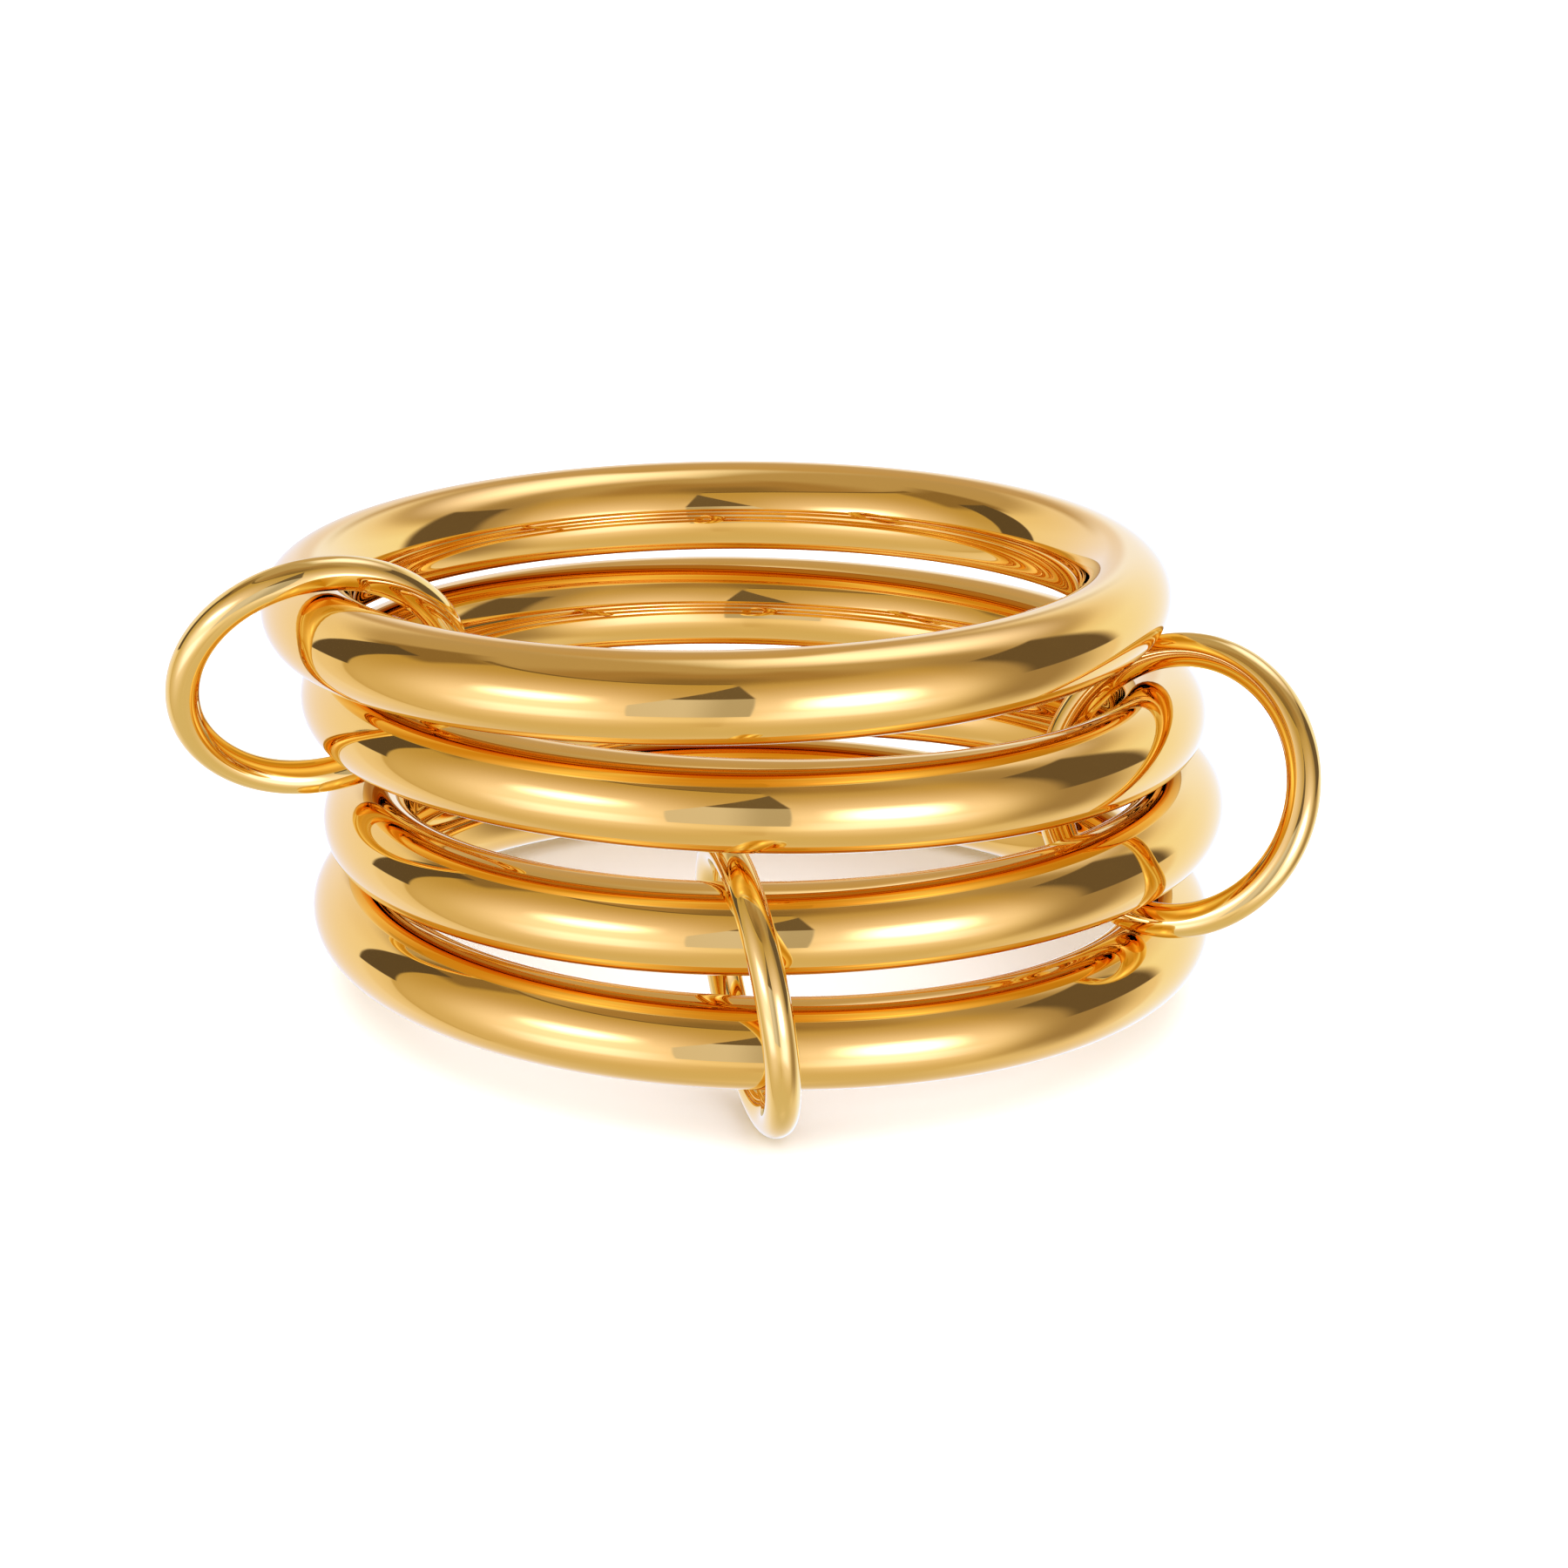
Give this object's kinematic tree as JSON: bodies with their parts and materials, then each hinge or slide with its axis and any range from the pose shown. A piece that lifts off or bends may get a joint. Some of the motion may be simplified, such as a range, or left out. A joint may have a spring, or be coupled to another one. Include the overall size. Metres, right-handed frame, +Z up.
{
  "type": "stackable ring",
  "caption": "Stackable finger ring: plain bands of round gold wire in a loose stack, each joined to the next by a small closed link at its edge.",
  "frame": {"origin": "on the surface that the ring rests on, under the middle of its bounding box", "axes": "+Z up, +X from the left link towards the right link, and the front, where the lowest link hangs, faces -Y"},
  "size_m": [0.0274, 0.0238, 0.0125],
  "materials": {
    "band_gold": "yellow gold, mirror polished",
    "link_gold": "yellow gold, polished"
  },
  "bodies": {
    "root": {"band_1": "band_gold", "band_2": "band_gold", "band_3": "band_gold", "band_4": "band_gold", "link_12": "link_gold", "link_23": "link_gold", "link_34": "link_gold"}
  },
  "joints": []
}
